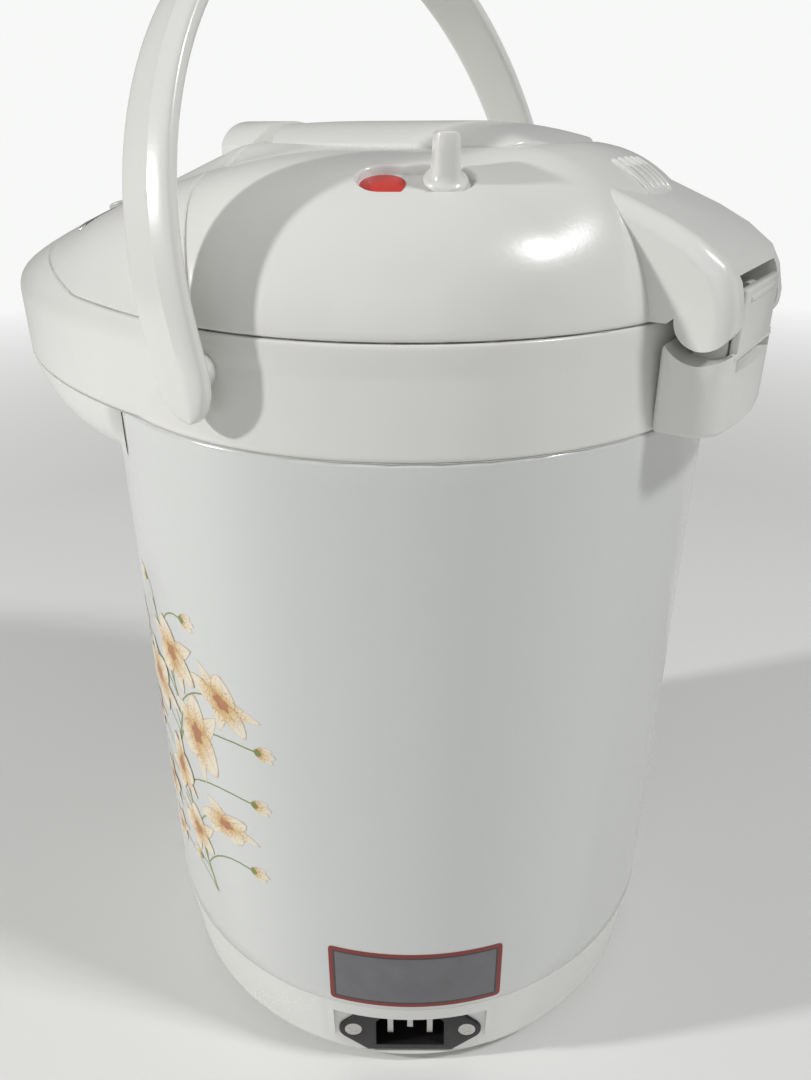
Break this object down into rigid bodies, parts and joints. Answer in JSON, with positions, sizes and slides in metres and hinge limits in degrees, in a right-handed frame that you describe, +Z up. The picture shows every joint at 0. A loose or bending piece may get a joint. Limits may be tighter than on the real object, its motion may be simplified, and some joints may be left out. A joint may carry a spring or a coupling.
{
  "type": "electric thermo pot",
  "caption": "Tall cylindrical electric water boiler with a domed hinged lid, a push plate, a spout beak with push buttons and a bow handle.",
  "frame": {"origin": "on the surface that the pot stands on, below the axis of its case", "axes": "+Z up along the case axis, -Y towards the spout, +Y towards the lid hinge, +X to the side that has the mains inlet"},
  "size_m": [0.2066, 0.2753, 0.3629],
  "materials": {
    "shell": "smooth gloss moulded plastic",
    "case_paint": "gloss stoved paint with a printed design",
    "steel": "drawn stainless steel",
    "zinc": "bright plated steel",
    "black": "fine-grained moulding",
    "panel": "smooth tinted plastic",
    "silicone": "matte silicone rubber",
    "foot": "matte rubber",
    "clear": "clear",
    "red": "plain",
    "board": "coated laminate",
    "button": "satin",
    "motor": "plain",
    "amber": "clear tinted"
  },
  "bodies": {
    "pot": {"base_ring": "shell", "base_cover": "shell", "base_screws": "zinc", "rubber_feet": "foot", "mains_inlet": "black", "inlet_pins": "zinc", "inlet_screws": "zinc", "outer_case": "case_paint", "gauge_window": "clear", "inner_pot": "steel", "liner_gasket": "silicone", "liner_bracket": "steel", "heater_band": "steel", "thermostats": "black", "pump_motor": "motor", "pump_housing": "shell", "lower_hose": "silicone", "sight_tube": "clear", "upper_hose": "silicone", "nozzle": "shell", "collar": "shell", "hinge_bracket": "shell", "spout_cover": "shell", "head_cover": "shell", "control_panel": "panel", "indicator_lenses": "amber", "control_board": "board", "handle_pins": "zinc", "hinge_pin": "zinc"},
    "impeller": {"pump_impeller": "shell"},
    "dispense_button": {"dispense_button": "button"},
    "reboil_button": {"reboil_button": "button"},
    "latch": {"lid_latch": "shell"},
    "handle": {"handle": "shell"},
    "release_tab": {"hinge_release": "shell"},
    "lid": {"lid_shell": "shell", "hinge_nose": "shell", "lid_inner": "shell", "lid_gasket": "silicone", "bellows": "silicone", "bellows_spring": "zinc", "lock_marker": "red"},
    "push_plate": {"push_plate": "shell"},
    "lock_knob": {"lock_knob": "shell"}
  },
  "joints": [
    {"name": "impeller_spin", "type": "hinge", "parent": "pot", "child": "impeller", "pos_m": [0, -0.038, 0.042], "axis": [0, 0, 1], "continuous": true},
    {"name": "dispense_press", "type": "slide", "parent": "pot", "child": "dispense_button", "axis": [0, 0.2588, -0.9659], "range_m": [0, 0.0012], "stiffness_N_per_m": 900, "springref_m": -0.0006},
    {"name": "reboil_press", "type": "slide", "parent": "pot", "child": "reboil_button", "axis": [0, 0.2588, -0.9659], "range_m": [0, 0.0012], "stiffness_N_per_m": 700, "springref_m": -0.0006},
    {"name": "latch_lift", "type": "hinge", "parent": "pot", "child": "latch", "pos_m": [0, -0.048, 0.295], "axis": [-1, 0, 0], "range_deg": [0, 20], "stiffness_Nm_per_rad": 0.08, "springref_deg": -8.59},
    {"name": "handle_swing", "type": "hinge", "parent": "pot", "child": "handle", "pos_m": [0, 0, 0.25], "axis": [1, 0, 0], "range_deg": [-80, 53]},
    {"name": "release_tilt", "type": "hinge", "parent": "pot", "child": "release_tab", "pos_m": [0, 0.1074, 0.2515], "axis": [-1, 0, 0], "range_deg": [0, 6], "stiffness_Nm_per_rad": 0.05, "springref_deg": -8.59},
    {"name": "lid_hinge", "type": "hinge", "parent": "pot", "child": "lid", "pos_m": [0, 0.1015, 0.2615], "axis": [-1, 0, 0], "range_deg": [0, 75]},
    {"name": "plate_press", "type": "slide", "parent": "lid", "child": "push_plate", "axis": [0, 0, -1], "range_m": [0, 0.012], "stiffness_N_per_m": 350, "springref_m": -0.012, "deforming": ["bellows", "bellows_spring"]},
    {"name": "lock_turn", "type": "hinge", "parent": "lid", "child": "lock_knob", "pos_m": [0, 0, 0.288], "axis": [0, 0, 1], "range_deg": [-12.5, 0]}
  ]
}
